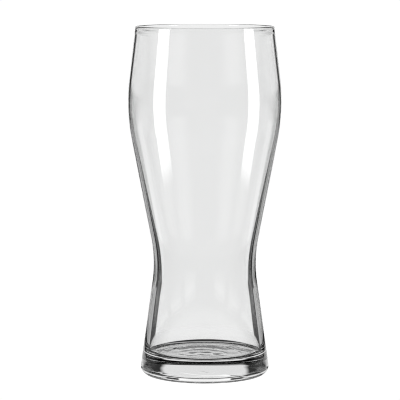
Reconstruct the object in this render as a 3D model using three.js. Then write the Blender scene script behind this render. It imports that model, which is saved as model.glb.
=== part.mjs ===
// A pint beer glass: one piece of clear soda-lime glass with a waisted body, a rounded shoulder
// below the mouth, a fire-polished rim and a thick solid base.
// Millimetres, +Z up. The origin is the centre of the ring that the glass stands on.

import * as THREE from "three";

// Outside of the wall. Each pair is where two straight runs of the wall would meet.
const HEIGHT = 190;
const SHOULDER_RADIUS = 42.95;
const SHOULDER_HEIGHT = 145.2;
const SHOULDER_FILLET = 110;
const WAIST_RADIUS = 27.05;
const WAIST_HEIGHT = 62.9;
const WAIST_FILLET = 69;
const FOOT_RADIUS = 35.65;
const HEEL_FILLET = 4.5;

// Rim: a short upright band, thicker than the wall below it, with a fully rounded top.
const RIM_RADIUS = 37.75;
const RIM_THICKNESS = 1.7;
const RIM_BAND_HEIGHT = 1.4;
const RIM_BLEND_HEIGHT = 1.2;

// The rim's two curves stop just short of the middle of the wall, so that they don't share a point.
const RIM_FILLET_SHARE = 0.999;

// Thickness of the wall, which grows downwards, and of the base. The cavity's narrowest place is a
// little lower than the waist outside it.
const WALL_AT_RIM = 1.35;
const WALL_AT_SHOULDER = 1.5;
const WALL_AT_FLOOR = 3.7;
const CAVITY_WAIST_RADIUS = 24.1;
const CAVITY_WAIST_HEIGHT = 61;
const CAVITY_WAIST_FILLET = 85;
const FLOOR_THICKNESS = 11.8;
const FLOOR_FILLET = 3;

// Underside: a flat standing ring around a shallow recess.
const RECESS_RADIUS = 27;
const RECESS_DEPTH = 1.2;
const RECESS_SLOPE_WIDTH = 1.5;
const RECESS_FILLET = 1;

// Fineness of the surface: facets around the axis, and the turn of one step along a curve.
const SEGMENTS_AROUND = 64;
const STEP_ANGLE = THREE.MathUtils.degToRad(4);
const TIGHT_STEP_ANGLE = THREE.MathUtils.degToRad(20);
const TIGHT_FILLET = 10;

// A corner of the outline: where its two sides would meet, and the radius that rounds it.
function corner(radius, height, fillet = 0) {
  return { point: new THREE.Vector2(radius, height), fillet };
}

// The arc that rounds a corner, as points from one side's tangent point to the other's.
function filletPoints(before, here, after) {
  const toBefore = before.point.clone().sub(here.point).normalize();
  const toAfter = after.point.clone().sub(here.point).normalize();
  const halfAngle = Math.acos(toBefore.dot(toAfter)) / 2;
  const bisector = toBefore.clone().add(toAfter).normalize();
  const centre = here.point.clone().addScaledVector(bisector, here.fillet / Math.sin(halfAngle));
  const start = here.point.clone().addScaledVector(toBefore, here.fillet / Math.tan(halfAngle));
  const turn = Math.PI - 2 * halfAngle;
  const sense = Math.sign(toAfter.cross(toBefore));
  const stepAngle = here.fillet > TIGHT_FILLET ? STEP_ANGLE : TIGHT_STEP_ANGLE;
  const steps = Math.ceil(turn / stepAngle);
  const points = [];
  for (let step = 0; step <= steps; step += 1) {
    points.push(start.clone().rotateAround(centre, (sense * turn * step) / steps));
  }
  return points;
}

// The outline through a list of corners, with a curve at each rounded one.
function roundedOutline(corners) {
  return corners.flatMap((here, i) =>
    here.fillet > 0 ? filletPoints(corners[i - 1], here, corners[i + 1]) : [here.point],
  );
}

// Radius, at a height, of the straight line between two corners.
function radiusOnLine(low, high, height) {
  const share = (height - low.point.y) / (high.point.y - low.point.y);
  return THREE.MathUtils.lerp(low.point.x, high.point.x, share);
}

// Underside and outer wall, from the axis to the foot of the rim band.
function outsideCorners() {
  return [
    corner(0, RECESS_DEPTH),
    corner(RECESS_RADIUS - RECESS_SLOPE_WIDTH, RECESS_DEPTH, RECESS_FILLET),
    corner(RECESS_RADIUS, 0),
    corner(FOOT_RADIUS, 0, HEEL_FILLET),
    corner(WAIST_RADIUS, WAIST_HEIGHT, WAIST_FILLET),
    corner(SHOULDER_RADIUS, SHOULDER_HEIGHT, SHOULDER_FILLET),
    corner(RIM_RADIUS, HEIGHT - RIM_BAND_HEIGHT),
  ];
}

// The rounded top of the rim.
function rimCorners() {
  const fillet = (RIM_THICKNESS / 2) * RIM_FILLET_SHARE;
  const innerRadius = RIM_RADIUS - RIM_THICKNESS;
  return [
    corner(RIM_RADIUS, HEIGHT, fillet),
    corner(innerRadius, HEIGHT, fillet),
    corner(innerRadius, HEIGHT - RIM_BAND_HEIGHT),
  ];
}

// Inner wall and floor, from the foot of the rim band to the axis.
function insideCorners() {
  const foot = corner(FOOT_RADIUS, 0);
  const waist = corner(WAIST_RADIUS, WAIST_HEIGHT);
  const floorRadius = radiusOnLine(foot, waist, FLOOR_THICKNESS) - WALL_AT_FLOOR;
  return [
    corner(RIM_RADIUS - WALL_AT_RIM, HEIGHT - RIM_BAND_HEIGHT - RIM_BLEND_HEIGHT),
    corner(SHOULDER_RADIUS - WALL_AT_SHOULDER, SHOULDER_HEIGHT, SHOULDER_FILLET - WALL_AT_SHOULDER),
    corner(CAVITY_WAIST_RADIUS, CAVITY_WAIST_HEIGHT, CAVITY_WAIST_FILLET),
    corner(floorRadius, FLOOR_THICKNESS, FLOOR_FILLET),
    corner(0, FLOOR_THICKNESS),
  ];
}

// Clear, faintly grey, and see-through.
function clearGlass() {
  return new THREE.MeshStandardMaterial({
    color: 0xf1f4f3,
    roughness: 0.03,
    metalness: 0,
    transparent: true,
    opacity: 0.35,
  });
}

// The glass is one body of revolution, turned from the lathe's +Y axis to +Z.
function glassBody() {
  const outline = roundedOutline([...outsideCorners(), ...rimCorners(), ...insideCorners()]);
  const mesh = new THREE.Mesh(new THREE.LatheGeometry(outline, SEGMENTS_AROUND), clearGlass());
  mesh.name = "glass_body";
  mesh.rotation.x = Math.PI / 2;
  return mesh;
}

const pintGlass = new THREE.Group();
pintGlass.add(glassBody());

export default pintGlass;
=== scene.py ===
"""A pint beer glass in Blender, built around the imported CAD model. Metres, +Z up."""

import math

import bpy
import numpy as np
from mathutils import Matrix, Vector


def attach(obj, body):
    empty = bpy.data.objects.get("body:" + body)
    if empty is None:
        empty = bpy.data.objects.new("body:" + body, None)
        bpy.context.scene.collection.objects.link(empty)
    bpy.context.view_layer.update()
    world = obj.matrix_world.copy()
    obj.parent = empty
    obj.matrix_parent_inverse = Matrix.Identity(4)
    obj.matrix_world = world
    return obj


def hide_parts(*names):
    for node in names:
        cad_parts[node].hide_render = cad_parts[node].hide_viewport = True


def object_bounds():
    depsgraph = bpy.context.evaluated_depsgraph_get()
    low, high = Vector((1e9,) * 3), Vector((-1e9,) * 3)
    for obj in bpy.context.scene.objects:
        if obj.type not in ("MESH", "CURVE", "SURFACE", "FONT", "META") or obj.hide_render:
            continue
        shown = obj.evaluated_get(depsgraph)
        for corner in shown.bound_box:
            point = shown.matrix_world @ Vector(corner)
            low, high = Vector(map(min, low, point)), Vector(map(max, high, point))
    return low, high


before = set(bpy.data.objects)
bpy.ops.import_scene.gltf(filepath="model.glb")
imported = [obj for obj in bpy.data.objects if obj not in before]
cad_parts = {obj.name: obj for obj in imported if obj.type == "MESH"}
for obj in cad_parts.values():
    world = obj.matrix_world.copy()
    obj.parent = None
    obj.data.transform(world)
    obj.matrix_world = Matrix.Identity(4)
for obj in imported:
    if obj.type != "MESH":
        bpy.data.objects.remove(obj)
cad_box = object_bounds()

MM = 0.001
WHITE_COLOUR = (1, 1, 1, 1)

# The outline, in millimetres, at the CAD model's height.
HEIGHT = cad_box[1].z / MM
SHOULDER_RADIUS = 42.95
SHOULDER_HEIGHT = 145.2
SHOULDER_FILLET = 110
WAIST_RADIUS = 27.05
WAIST_HEIGHT = 62.9
WAIST_FILLET = 69
FOOT_RADIUS = 35.65
HEEL_FILLET = 4.5
RIM_RADIUS = 37.75
RIM_THICKNESS = 1.7
RIM_BAND_HEIGHT = 1.4
RIM_BLEND_HEIGHT = 1.2
RIM_FILLET_SHARE = 0.999
WALL_AT_RIM = 1.35
WALL_AT_SHOULDER = 1.5
CAVITY_WAIST_RADIUS = 24.1
CAVITY_WAIST_HEIGHT = 61
CAVITY_WAIST_FILLET = 85
WALL_AT_FLOOR = 3.7
FLOOR_THICKNESS = 11.8
FLOOR_FILLET = 3
RECESS_RADIUS = 27
RECESS_DEPTH = 1.2
RECESS_SLOPE_WIDTH = 1.5
RECESS_FILLET = 1

# How finely the outline and the turn are divided: lengths in millimetres, a fillet's step in degrees.
SEGMENTS_AROUND = 288
LONGEST_STEP = 2.8
FLOOR_STEP = 0.55
FEWEST_FILLET_STEPS = 6
LARGEST_FILLET_STEP = 6
FLATS_BELOW = 2 * FLOOR_THICKNESS
FLAT_SLACK = 1e-6
AXIS_SLACK = 1e-9

# What the mould leaves on the glass: ripples on the cavity's floor and under the base, a knurled
# standing ring, and a cavity wall that is slightly out of round. Heights and lengths in millimetres.
MARK_SEED = 11
FLOOR_RIPPLE = 0.08
FLOOR_RIPPLE_LENGTH = 8.0
FLOOR_RIPPLE_BEND = 1.1
FLOOR_RIPPLE_BENDS = 2
FLOOR_SWIRL = 0.03
FLOOR_SWIRLS = ((1.0, 3, 0.33), (0.7, 5, -0.55))
FLOOR_BOSS = 0.22
FLOOR_BOSS_RADIUS = 4.0
RIPPLE_EDGE = 27.0
RIPPLE_FADE = 5.0
RECESS_RELIEF_SHARE = 0.6
KNURLS = 72
KNURL_DEPTH = 0.12
CAVITY_WAVE = 0.02
CAVITY_WAVES = ((1.0, 2, 0.05), (0.6, 3, -0.09))
CAVITY_WAVE_FADE = 20

# The glass itself: noise scales per metre, heights and radii in metres. The four-number and
# two-number tuples are smooth steps: (start, end, low, high).
GLASS_IOR = 1.52
TINT = (0.985, 0.99, 0.988, 1)
CORD_STRETCH = (1.0, 1.0, 0.22)
CORD_SCALE = 55.0
CORD_STRENGTH = 0.04
CORD_HEIGHT = 0.0003
FINE_SCALE = 420.0
FINE_STRENGTH = 0.01
FINE_HEIGHT = 0.00002
CLOUD_SCALE = 24.0
HAZE = (0.45, 0.85, 0.0, 0.012)
WORN_SCALE = 900.0
WORN_ROUGHNESS = (0.35, 0.7, 0.05, 0.35)
WORN_BELOW = (0.0002, 0.0006, 1.0, 0.0)
WORN_BEYOND = (0.0262, 0.0272)


def corner(radius, height, fillet=0.0):
    return (np.array([radius, height], float), fillet)


def unit(v):
    return v / np.linalg.norm(v)


def fillet_points(before, here, after):
    """The arc that rounds a corner, from the side it is reached on to the side it is left on."""
    point, fillet = here
    to_before, to_after = unit(before[0] - point), unit(after[0] - point)
    half = math.acos(float(to_before @ to_after)) / 2
    centre = point + unit(to_before + to_after) * fillet / math.sin(half)
    start = point + to_before * fillet / math.tan(half) - centre
    sense = math.copysign(1, to_after[0] * to_before[1] - to_after[1] * to_before[0])
    turn = math.pi - 2 * half
    by_length = math.ceil(turn * fillet / LONGEST_STEP)
    by_angle = math.ceil(math.degrees(turn) / LARGEST_FILLET_STEP)
    steps = max(FEWEST_FILLET_STEPS, by_length, by_angle)
    points = []
    for step in range(steps + 1):
        a = sense * turn * step / steps
        c, s = math.cos(a), math.sin(a)
        arm = np.array([c * start[0] - s * start[1], s * start[0] + c * start[1]])
        points.append(centre + arm)
    return points


def rounded_outline(corners):
    points = []
    for i, here in enumerate(corners):
        if here[1] > 0:
            points += fillet_points(corners[i - 1], here, corners[i + 1])
        else:
            points.append(here[0])
    return points


def is_flat(a, b):
    """True for the level runs of the outline: the floor, the recess and the standing ring."""
    return abs(a[1] - b[1]) < FLAT_SLACK and max(a[1], b[1]) < FLATS_BELOW


def with_even_steps(points):
    out = [points[0]]
    for a, b in zip(points, points[1:]):
        longest = FLOOR_STEP if is_flat(a, b) else LONGEST_STEP
        pieces = max(1, math.ceil(np.linalg.norm(b - a) / longest))
        out += [a + (b - a) * k / pieces for k in range(1, pieces + 1)]
    return out


def radius_on_line(low, high, height):
    share = (height - low[0][1]) / (high[0][1] - low[0][1])
    return low[0][0] + share * (high[0][0] - low[0][0])


def glass_outline():
    """From the axis under the base, out and up the outside, over the rim and down the cavity."""
    fillet = RIM_THICKNESS / 2 * RIM_FILLET_SHARE
    rim_foot = HEIGHT - RIM_BAND_HEIGHT
    rim_inside = RIM_RADIUS - RIM_THICKNESS
    foot = corner(FOOT_RADIUS, 0)
    waist = corner(WAIST_RADIUS, WAIST_HEIGHT)
    floor_radius = radius_on_line(foot, waist, FLOOR_THICKNESS) - WALL_AT_FLOOR
    cavity_shoulder = SHOULDER_RADIUS - WALL_AT_SHOULDER
    cavity_shoulder_fillet = SHOULDER_FILLET - WALL_AT_SHOULDER
    return with_even_steps(rounded_outline([
        corner(0, RECESS_DEPTH),
        corner(RECESS_RADIUS - RECESS_SLOPE_WIDTH, RECESS_DEPTH, RECESS_FILLET),
        corner(RECESS_RADIUS, 0),
        corner(FOOT_RADIUS, 0, HEEL_FILLET),
        corner(WAIST_RADIUS, WAIST_HEIGHT, WAIST_FILLET),
        corner(SHOULDER_RADIUS, SHOULDER_HEIGHT, SHOULDER_FILLET),
        corner(RIM_RADIUS, rim_foot),
        corner(RIM_RADIUS, HEIGHT, fillet),
        corner(rim_inside, HEIGHT, fillet),
        corner(rim_inside, rim_foot),
        corner(RIM_RADIUS - WALL_AT_RIM, rim_foot - RIM_BLEND_HEIGHT),
        corner(cavity_shoulder, SHOULDER_HEIGHT, cavity_shoulder_fillet),
        corner(CAVITY_WAIST_RADIUS, CAVITY_WAIST_HEIGHT, CAVITY_WAIST_FILLET),
        corner(floor_radius, FLOOR_THICKNESS, FLOOR_FILLET),
        corner(0, FLOOR_THICKNESS),
    ]))


def smooth(value):
    t = min(max(value, 0.0), 1.0)
    return t * t * (3 - 2 * t)


def twisted_waves(waves, angle, along, phases):
    """A sum of waves round the axis; each is (share, waves in a turn, twist per millimetre)."""
    return sum(share * math.sin(count * angle + twist * along + phase)
               for (share, count, twist), phase in zip(waves, phases))


def floor_relief(radius, angle, phases):
    """Height of the mould's marks on a level face at a radius and an angle."""
    bend = FLOOR_RIPPLE_BEND * math.sin(FLOOR_RIPPLE_BENDS * angle + phases[0])
    rings = math.cos(math.tau * radius / FLOOR_RIPPLE_LENGTH + bend)
    swirl = twisted_waves(FLOOR_SWIRLS, angle, radius, phases[1:]) * (radius / RIPPLE_EDGE)
    boss = math.exp(-(radius / FLOOR_BOSS_RADIUS) ** 2)
    fade = smooth((RIPPLE_EDGE - radius) / RIPPLE_FADE)
    return fade * (FLOOR_RIPPLE * rings + FLOOR_SWIRL * swirl) + FLOOR_BOSS * boss


def knurl(radius, angle):
    """Depth of the grooves across the standing ring, none at its two edges."""
    outer = FOOT_RADIUS - HEEL_FILLET
    share = (radius - RECESS_RADIUS) / (outer - RECESS_RADIUS)
    across = math.sqrt(math.sin(math.pi * min(max(share, 0.0), 1.0)))
    return KNURL_DEPTH * across * (1 - math.cos(KNURLS * angle)) / 2


def moulded(radius, height, angle, in_cavity, phases):
    """Where a point of the plain outline lies on the moulded glass."""
    floor_phases, recess_phases, wall_phases = phases
    if in_cavity and abs(height - FLOOR_THICKNESS) < FLAT_SLACK:
        return radius, height + floor_relief(radius, angle, floor_phases)
    if in_cavity:
        fade = smooth((height - FLOOR_THICKNESS) / CAVITY_WAVE_FADE)
        fade *= smooth((HEIGHT - height) / CAVITY_WAVE_FADE)
        wave = twisted_waves(CAVITY_WAVES, angle, height, wall_phases)
        return radius + CAVITY_WAVE * fade * wave, height
    if abs(height - RECESS_DEPTH) < FLAT_SLACK:
        return radius, height - RECESS_RELIEF_SHARE * floor_relief(radius, angle, recess_phases)
    if height < FLAT_SLACK:
        return radius, height + knurl(radius, angle)
    return radius, height


def ring_points(outline, segments):
    """Vertices ring by ring, one for a point on the axis, and the index where each ring starts."""
    phases = np.random.default_rng(MARK_SEED).uniform(0, math.tau, (3, 3))
    top = max(range(len(outline)), key=lambda i: outline[i][1])
    verts, ring_start = [], []
    for i, (radius, height) in enumerate(outline):
        ring_start.append(len(verts))
        if radius < AXIS_SLACK:
            verts.append((0, 0, moulded(0.0, height, 0.0, i > top, phases)[1] * MM))
            continue
        for k in range(segments):
            a = 2 * math.pi * k / segments
            r, h = moulded(radius, height, a, i > top, phases)
            verts.append((r * MM * math.cos(a), r * MM * math.sin(a), h * MM))
    return verts, ring_start


def ring_faces(ring_start, segments):
    """Quads between the rings, and triangles to the two points on the axis."""
    faces = []
    last = len(ring_start) - 2
    for i, (low, high) in enumerate(zip(ring_start, ring_start[1:])):
        for k in range(segments):
            n = (k + 1) % segments
            if i == 0:
                faces.append((low, high + n, high + k))
            elif i == last:
                faces.append((low + k, low + n, high))
            else:
                faces.append((low + k, low + n, high + n, high + k))
    return faces


def add_object(name, verts, faces):
    mesh = bpy.data.meshes.new(name)
    mesh.from_pydata(verts, [], faces)
    obj = bpy.data.objects.new(name, mesh)
    bpy.context.scene.collection.objects.link(obj)
    return obj


def lathe(name, outline, segments):
    """A closed body of revolution from an outline that starts and ends on the axis."""
    verts, ring_start = ring_points(outline, segments)
    obj = add_object(name, verts, ring_faces(ring_start, segments))
    obj.data.validate()
    obj.data.shade_smooth()
    return obj


def node(tree, kind, inputs=None, **settings):
    """A node with its settings and inputs; an input is a number, a tuple or a socket."""
    made = tree.nodes.new(kind)
    for key, value in settings.items():
        setattr(made, key, value)
    for key, value in (inputs or {}).items():
        socket = made.inputs[key]
        if isinstance(value, bpy.types.NodeSocket):
            tree.links.new(value, socket)
        else:
            socket.default_value = value
    return made


def math_node(tree, operation, a, b=None):
    inputs = {0: a} if b is None else {0: a, 1: b}
    return node(tree, "ShaderNodeMath", inputs, operation=operation).outputs[0]


def product(tree, first, *others):
    for other in others:
        first = math_node(tree, "MULTIPLY", first, other)
    return first


def larger(tree, a, b):
    return math_node(tree, "MAXIMUM", a, b)


def more(tree, value, threshold):
    """1 where value is above threshold, 0 elsewhere."""
    return math_node(tree, "GREATER_THAN", value, threshold)


def less(tree, value, threshold):
    """1 where value is below threshold, 0 elsewhere."""
    return math_node(tree, "LESS_THAN", value, threshold)


def ramp(tree, value, start, end, low=0.0, high=1.0):
    """A smooth step of value from low at start to high at end."""
    inputs = {"Value": value, "From Min": start, "From Max": end, "To Min": low, "To Max": high}
    made = node(tree, "ShaderNodeMapRange", inputs, interpolation_type="SMOOTHSTEP")
    return made.outputs[0]


def mixed(tree, factor, a, b):
    """a where factor is 0, b where it is 1."""
    return node(tree, "ShaderNodeMix", {"Factor": factor, "A": a, "B": b}).outputs["Result"]


def length_of(tree, vector):
    made = node(tree, "ShaderNodeVectorMath", {0: vector}, operation="LENGTH")
    return made.outputs["Value"]


def scaled(tree, vector, factors):
    made = node(tree, "ShaderNodeVectorMath", {0: vector, 1: factors}, operation="MULTIPLY")
    return made.outputs[0]


def noise(tree, place, scale, detail):
    made = node(tree, "ShaderNodeTexNoise", {"Vector": place, "Scale": scale, "Detail": detail})
    return made.outputs[0]


def glass_bump(tree, place):
    """Faint cords, long in the wall's upright direction, and a finer unevenness."""
    stretch = node(tree, "ShaderNodeMapping", {"Vector": place, "Scale": CORD_STRETCH}).outputs[0]
    cords = noise(tree, stretch, CORD_SCALE, 2.0)
    fine = noise(tree, place, FINE_SCALE, 3.0)
    cord_bump = node(tree, "ShaderNodeBump", {"Strength": CORD_STRENGTH, "Distance": CORD_HEIGHT,
                                              "Height": cords}).outputs[0]
    return node(tree, "ShaderNodeBump", {"Strength": FINE_STRENGTH, "Distance": FINE_HEIGHT,
                                         "Height": fine, "Normal": cord_bump}).outputs[0]


def worn_ring(tree, place):
    """Roughness of the ring that the glass stands on, dulled by use; none elsewhere."""
    height = node(tree, "ShaderNodeSeparateXYZ", {"Vector": place}).outputs["Z"]
    low = ramp(tree, height, *WORN_BELOW)
    out_from_axis = length_of(tree, scaled(tree, place, (1.0, 1.0, 0.0)))
    ring = product(tree, low, ramp(tree, out_from_axis, *WORN_BEYOND))
    return product(tree, ring, ramp(tree, noise(tree, place, WORN_SCALE, 4.0), *WORN_ROUGHNESS))


def clear_glass():
    """Soda-lime glass with cords, slight clouds of tint and haze, and a dull standing ring."""
    mat = bpy.data.materials.new("clear_glass")
    mat.use_nodes = True
    tree = mat.node_tree
    place = node(tree, "ShaderNodeTexCoord").outputs["Object"]
    cloud = noise(tree, place, CLOUD_SCALE, 4.0)
    roughness = larger(tree, worn_ring(tree, place), ramp(tree, cloud, *HAZE))
    tint = node(tree, "ShaderNodeValToRGB", {0: cloud})
    tint.color_ramp.elements[0].color = TINT
    tint.color_ramp.elements[1].color = WHITE_COLOUR

    shader = tree.nodes["Principled BSDF"]
    shader.inputs["IOR"].default_value = GLASS_IOR
    shader.inputs["Transmission Weight"].default_value = 1.0
    tree.links.new(tint.outputs["Color"], shader.inputs["Base Color"])
    tree.links.new(roughness, shader.inputs["Roughness"])
    tree.links.new(glass_bump(tree, place), shader.inputs["Normal"])
    return mat


# The studio. The camera sees plain white. Rays that have met the glass see bright and dark bands,
# which draw the lines in it. Which bands they see also depends on how often the ray has been
# refracted or reflected, so this is a drawn light and not a physical one.
WHITE = 1.03
DARK = 0.03
BACKDROP = 0.94
STEEP_TURNED_LIGHT = 0.25

# Bands of light against the angle from +Y, in degrees. Each is (start, end, edge, light), and None
# leaves the start open.
BACKDROP_BANDS = [(None, 16.5, 1.0, BACKDROP)]
AWAY_BANDS = [(76, 104, 3, 0.8), (121, 149, 3, 0.8), (168, 180, 3, 0.5)]
TURNED_BANDS = [(None, 16.0, 1.5, BACKDROP), (14, 36, 3, 0.04)]
CROSSED_BANDS = [(27, 37, 2, 0.6)]
LOW_SIDE_BANDS = [(45, 66, 3, 0.85)]
HIGH_BANDS = [(None, 31, 4, 0.8), (72, 108, 12, 0.6), (120, 150, 12, 0.6)]
STEEP_BANDS = [(None, 16, 3, 0.9), (29, 61, 3, 0.9), (74, 106, 3, 0.9), (119, 151, 3, 0.9),
               (164, 180, 3, 0.9)]
WALL_BANDS = [(None, 10, 3, BACKDROP), (24, 41, 2, 0.5)]
WALL_STEEP_BANDS = [(None, 10, 3, BACKDROP), (None, 34, 1.5, 0.5)]
TABLE_BANDS = [(None, 61, 4, 0.95), (74, 106, 4, 0.85), (119, 151, 4, 0.85)]

# Smooth steps against the angle from +Y, in degrees: (start, end, low, high).
BACKDROP_RISE = (4, 16.5, 1.0, 1.16)
SOFTBOX_START = (42, 46)
SOFTBOX_END = (54, 88, 1.0, DARK)
BROW_START = (29, 32)
BROW_END = (56, 88, 0.8, DARK)
LOW_SIDE_IN_WALL = (50, 55)

# Smooth steps against the elevation, in degrees: (start, end, low, high).
SOFTBOX_FOOT = (-8, -3)
SOFTBOX_TOP = (8, 14)
BROW_FOOT = (-2.5, -1)
BROW_TOP = (5, 9)
LOW_SIDE_REACH = (-11, -8, 1.0, 0.0)
HIGH_START = (5, 8)
STEEP_REACH = (-21, -17, 1.0, 0.0)
UPPER_FADE = (18, 30, 1.0, DARK)
WALL_LEVEL_START = (-8, -6.5)
WALL_REACH = (-4.5, -2, 1.0, 0.0)

# Smooth steps of the side softboxes' light against the ray's x, and of the light inside the wall
# against the number of surfaces crossed, which is less for the wall's far side.
SOFTBOX_LIGHT = (-0.5, 0.5, 0.35, 0.45)
FAR_SIDE = (2.4, 2.6, 1.0, 0.35)

# The table and the painted light and shade that the glass sees on it, in millimetres.
FLOOR_SIZE = 3000
FLOOR_DROP = 0.3
DISC_RADIUS = 56
DISC_EDGE = 3
DISC_STRETCH = 1.75
RING_RADIUS = 80
RING_EDGE = 8
TABLE_RADIUS = 148
TABLE_EDGE = 7
CENTRE_RADIUS = 24
PATCH_RADIUS = 42
CENTRE_EDGE = 4
CENTRE_LIGHT = 0.7
PATCH_LIGHT = 0.6

# Softboxes in front of the glass, each an upright panel close beside it: x and y of its two edges.
STRIP_LEFT = ((-107.1, -85.5), (-126.3, -43.7))
STRIP_RIGHT = ((115.1, -72.5), (128.7, -31.2))
STRIP_FOOT = 58
STRIP_FADE = 22
STRIP_TOP = 320
STRIP_STRENGTH = 5.5

# The camera, at the photo's viewing angle: metres and degrees.
CAMERA_LENS = 203.57
CAMERA_PLACE = (0, -1.22415, 0.229355)
CAMERA_DOWN = 6.2409
CAMERA_TURN = 0.1216


def emission(name, strength):
    """A material that only shines; its output is left to be linked."""
    mat = bpy.data.materials.new(name)
    mat.use_nodes = True
    tree = mat.node_tree
    tree.nodes.clear()
    light = node(tree, "ShaderNodeEmission", {"Strength": strength, "Color": WHITE_COLOUR})
    return mat, tree, light


def show_where(tree, amount, light):
    """Links the light to the output where amount is 1, and leaves it clear where it is 0."""
    clear = node(tree, "ShaderNodeBsdfTransparent")
    mix = node(tree, "ShaderNodeMixShader", {0: amount, 1: clear.outputs[0], 2: light.outputs[0]})
    node(tree, "ShaderNodeOutputMaterial", {"Surface": mix.outputs[0]})


def panel(name, corners, material):
    obj = add_object(name, corners, [tuple(range(len(corners)))])
    obj.data.materials.append(material)


def bands(tree, angle, spans):
    """Light against an angle, from a list of bands; DARK between them."""
    out = DARK
    for start, end, edge, light in spans:
        lit = ramp(tree, angle, end - edge, end + edge, light, 0.0)
        if start is not None:
            before = ramp(tree, angle, start - edge, start + edge, light, 0.0)
            lit = math_node(tree, "SUBTRACT", lit, before)
        out = larger(tree, lit, out)
    return out


def angle_from_y(tree, x, y):
    """Angle of a direction from +Y round the vertical axis, 0 to 180 degrees to either side."""
    turn = math_node(tree, "ABSOLUTE", math_node(tree, "ARCTAN2", x, y))
    return math_node(tree, "DEGREES", turn)


def window(tree, value, start, end):
    """Rises over the step start and falls over the step end."""
    return math_node(tree, "SUBTRACT", ramp(tree, value, *start), ramp(tree, value, *end))


def level_light(tree, path, x, azimuth, elevation, low_sides):
    """What the glass sees near the horizon."""
    crossings = path.outputs["Transmission Depth"]
    through = less(tree, path.outputs["Glossy Depth"], 0.5)
    inside = more(tree, crossings, 0.5)
    backdrop = bands(tree, azimuth, BACKDROP_BANDS)
    level = product(tree, backdrop, ramp(tree, azimuth, *BACKDROP_RISE))
    level = larger(tree, level, product(tree, through, bands(tree, azimuth, AWAY_BANDS)))
    turned = product(tree, inside, bands(tree, azimuth, TURNED_BANDS))
    level = larger(tree, level, mixed(tree, through, turned, 0.0))
    crossed = product(tree, through, inside, less(tree, crossings, 2.5))
    level = larger(tree, level, product(tree, crossed, bands(tree, azimuth, CROSSED_BANDS)))

    softbox = product(tree, ramp(tree, azimuth, *SOFTBOX_START), ramp(tree, azimuth, *SOFTBOX_END))
    softbox = product(tree, softbox, ramp(tree, x, *SOFTBOX_LIGHT))
    reach = window(tree, elevation, SOFTBOX_FOOT, SOFTBOX_TOP)
    level = larger(tree, level, product(tree, softbox, reach))
    brow = product(tree, ramp(tree, azimuth, *BROW_START), ramp(tree, azimuth, *BROW_END))
    reach = window(tree, elevation, BROW_FOOT, BROW_TOP)
    level = larger(tree, level, product(tree, brow, reach))
    return larger(tree, level, product(tree, through, low_sides))


def wall_light(tree, path, azimuth, elevation, low_sides):
    """Which rays run along inside the wall, turned back once by the cavity, and what they see."""
    crossings = path.outputs["Transmission Depth"]
    through = less(tree, path.outputs["Glossy Depth"], 0.5)
    once = math_node(tree, "SUBTRACT", less(tree, path.outputs["Glossy Depth"], 1.5), through)
    in_wall = product(tree, more(tree, crossings, 0.5), once, ramp(tree, elevation, *WALL_REACH))
    side = mixed(tree, ramp(tree, elevation, *WALL_LEVEL_START),
                 bands(tree, azimuth, WALL_STEEP_BANDS), bands(tree, azimuth, WALL_BANDS))
    low = product(tree, low_sides, ramp(tree, azimuth, *LOW_SIDE_IN_WALL))
    side = product(tree, larger(tree, side, low), ramp(tree, crossings, *FAR_SIDE))
    return in_wall, side


def studio_world():
    """Light by direction: near the horizon, above and below it, and for rays inside the wall."""
    world = bpy.data.worlds.new("studio")
    world.use_nodes = True
    tree = world.node_tree
    direction = node(tree, "ShaderNodeTexCoord").outputs["Generated"]
    x, y, z = node(tree, "ShaderNodeSeparateXYZ", {0: direction}).outputs
    azimuth = angle_from_y(tree, x, y)
    elevation = math_node(tree, "DEGREES", math_node(tree, "ARCSINE", z))
    path = node(tree, "ShaderNodeLightPath")
    through = less(tree, path.outputs["Glossy Depth"], 0.5)

    low_sides = bands(tree, azimuth, LOW_SIDE_BANDS)
    low_sides = product(tree, low_sides, ramp(tree, elevation, *LOW_SIDE_REACH))
    level = level_light(tree, path, x, azimuth, elevation, low_sides)
    high = bands(tree, azimuth, HIGH_BANDS)
    steep = mixed(tree, through, STEEP_TURNED_LIGHT, bands(tree, azimuth, STEEP_BANDS))
    seen = mixed(tree, ramp(tree, elevation, *HIGH_START), level, high)
    seen = mixed(tree, ramp(tree, elevation, *STEEP_REACH), seen, steep)
    seen = product(tree, seen, ramp(tree, elevation, *UPPER_FADE))
    in_wall, side = wall_light(tree, path, azimuth, elevation, low_sides)
    seen = mixed(tree, in_wall, seen, side)
    strength = mixed(tree, path.outputs["Is Camera Ray"], seen, WHITE)

    background = tree.nodes["Background"]
    background.inputs["Color"].default_value = WHITE_COLOUR
    tree.links.new(strength, background.inputs["Strength"])
    bpy.context.scene.world = world


def step_at(tree, value, middle, half_width, low=0.0, high=1.0):
    return ramp(tree, value, middle - half_width, middle + half_width, low, high)


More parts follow.
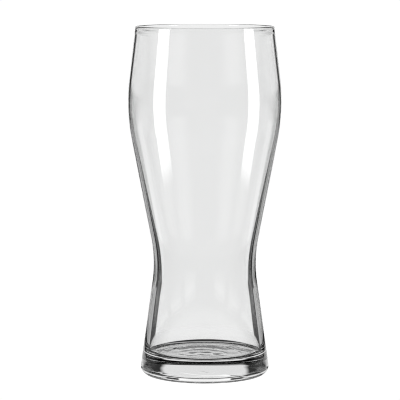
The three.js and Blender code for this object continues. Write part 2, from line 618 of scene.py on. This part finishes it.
def table():
    """A glowing floor, white to the camera. To the glass it shows painted light and shade: a dim
    centre, a dark disc and a ring of bright bands.
    """
    mat, tree, light = emission("table_painted_light", WHITE)
    path = node(tree, "ShaderNodeLightPath")
    camera_ray = path.outputs["Is Camera Ray"]
    position = node(tree, "ShaderNodeNewGeometry").outputs["Position"]
    radius = math_node(tree, "DIVIDE", length_of(tree, position), MM)
    oval = length_of(tree, scaled(tree, position, (DISC_STRETCH / MM, 1 / MM, 0.0)))
    x, y, _ = node(tree, "ShaderNodeSeparateXYZ", {0: position}).outputs
    ring = bands(tree, angle_from_y(tree, x, y), TABLE_BANDS)

    # Painted light and shade: a dim centre and a dark disc, with a ring of bright bands beyond it.
    turned = product(tree, more(tree, path.outputs["Transmission Depth"], 0.5),
                     more(tree, path.outputs["Glossy Depth"], 0.5))
    centre = step_at(tree, radius, CENTRE_RADIUS, CENTRE_EDGE, CENTRE_LIGHT, DARK)
    patch = step_at(tree, radius, PATCH_RADIUS, CENTRE_EDGE, PATCH_LIGHT, DARK)
    middle = mixed(tree, turned, patch, centre)
    shade = mixed(tree, step_at(tree, oval, DISC_RADIUS, DISC_EDGE), middle, ring)
    beyond = product(tree, turned, step_at(tree, radius, RING_RADIUS, RING_EDGE))
    shade = mixed(tree, beyond, shade, DARK)
    tree.links.new(mixed(tree, camera_ray, shade, WHITE), light.inputs["Strength"])

    near = step_at(tree, radius, TABLE_RADIUS, TABLE_EDGE, 1.0, 0.0)
    show_where(tree, larger(tree, near, camera_ray), light)
    w, z = FLOOR_SIZE * MM, -FLOOR_DROP * MM
    panel("floor", [(-w, -w, z), (w, -w, z), (w, w, z), (-w, w, z)], mat)


def strip(name, edges):
    """A softbox seen only in the reflections on the outside of the glass."""
    mat, tree, light = emission(name, STRIP_STRENGTH)
    path = node(tree, "ShaderNodeLightPath")
    position = node(tree, "ShaderNodeNewGeometry").outputs["Position"]
    height = node(tree, "ShaderNodeSeparateXYZ", {0: position}).outputs["Z"]
    fade = ramp(tree, height, STRIP_FOOT * MM, (STRIP_FOOT + STRIP_FADE) * MM)
    first = less(tree, path.outputs["Transmission Depth"], 0.5)
    show_where(tree, product(tree, first, path.outputs["Is Glossy Ray"], fade), light)
    (ax, ay), (bx, by) = edges
    low, high = STRIP_FOOT, STRIP_TOP
    corners = [(ax, ay, low), (bx, by, low), (bx, by, high), (ax, ay, high)]
    panel(name, [tuple(c * MM for c in p) for p in corners], mat)


def camera():
    data = bpy.data.cameras.new("camera")
    obj = bpy.data.objects.new("camera", data)
    bpy.context.scene.collection.objects.link(obj)
    data.lens = CAMERA_LENS
    obj.location = CAMERA_PLACE
    obj.rotation_euler = (math.radians(90 - CAMERA_DOWN), 0, math.radians(CAMERA_TURN))
    bpy.context.scene.camera = obj


camera()
glass = lathe("pint_glass", glass_outline(), SEGMENTS_AROUND)
glass.data.materials.append(clear_glass())
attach(glass, "root")
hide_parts("glass_body")

table()
strip("softbox_left", STRIP_LEFT)
strip("softbox_right", STRIP_RIGHT)
studio_world()
bpy.context.scene.view_settings.view_transform = "Standard"
bpy.context.scene.cycles.filter_width = 1.0
